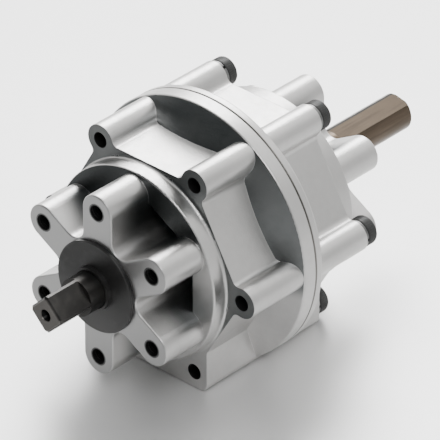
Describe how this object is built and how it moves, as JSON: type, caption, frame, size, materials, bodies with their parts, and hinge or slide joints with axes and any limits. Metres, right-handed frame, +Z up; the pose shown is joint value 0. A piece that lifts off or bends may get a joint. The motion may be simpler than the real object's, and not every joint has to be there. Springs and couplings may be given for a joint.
{
  "type": "rotary vane actuator",
  "caption": "Cast aluminium rotary vane actuator: two lobed case halves on a flat foot, a square drive end in front and a long round shaft with a flat behind.",
  "frame": {"origin": "on the shaft axis, in the plane of the front mounting boss faces", "axes": "+Y along the shaft to its long end, +Z up from the foot to the vane at rest, +X to the right seen from the square end"},
  "size_m": [0.12, 0.219, 0.1133],
  "materials": {
    "cast_aluminium": "satin blasted casting",
    "machined_aluminium": "machined",
    "shaft_steel": "dark oxide, ground",
    "black_cap": "satin black",
    "black_screws": "black oxide",
    "spring_steel": "dark spring steel",
    "pin_steel": "ground",
    "bearing_steel": "ground",
    "ball_steel": "polished",
    "cage_steel": "pressed",
    "seal_rubber": "matt",
    "pad_urethane": "matt"
  },
  "bodies": {
    "case": {"front_case": "cast_aluminium", "rear_case": "cast_aluminium", "shoe": "machined_aluminium", "shoe_seal": "seal_rubber", "stop_pads": "pad_urethane", "shoe_pins": "pin_steel", "dowel_pins": "pin_steel", "case_o_ring": "seal_rubber", "front_bearing_outer_ring": "bearing_steel", "rear_bearing_outer_ring": "bearing_steel", "front_shaft_seal": "seal_rubber", "rear_shaft_seal": "seal_rubber", "front_garter_spring": "spring_steel", "rear_garter_spring": "spring_steel", "front_cap": "black_cap", "rear_retaining_ring": "spring_steel", "case_bolts": "black_screws", "spring_washers": "spring_steel"},
    "shaft": {"vane_shaft": "shaft_steel", "vane_seal": "seal_rubber", "front_bearing_inner_ring": "bearing_steel", "rear_bearing_inner_ring": "bearing_steel"},
    "front_ball_set": {"front_bearing_cage": "cage_steel", "front_bearing_balls": "ball_steel"},
    "rear_ball_set": {"rear_bearing_cage": "cage_steel", "rear_bearing_balls": "ball_steel"}
  },
  "joints": [
    {"name": "shaft_turn", "type": "hinge", "parent": "case", "child": "shaft", "pos_m": [0, 0, 0], "axis": [0, 1, 0], "range_deg": [-135, 135]},
    {"name": "front_cage_turn", "type": "hinge", "parent": "case", "child": "front_ball_set", "pos_m": [0, 0.008, 0], "axis": [0, 1, 0], "range_deg": [-56, 56]},
    {"name": "rear_cage_turn", "type": "hinge", "parent": "case", "child": "rear_ball_set", "pos_m": [0, 0.123, 0], "axis": [0, 1, 0], "range_deg": [-56, 56]}
  ],
  "couplings": [
    {"joint": "front_cage_turn", "follows": "shaft_turn", "ratio": 0.4115},
    {"joint": "rear_cage_turn", "follows": "shaft_turn", "ratio": 0.4115}
  ]
}
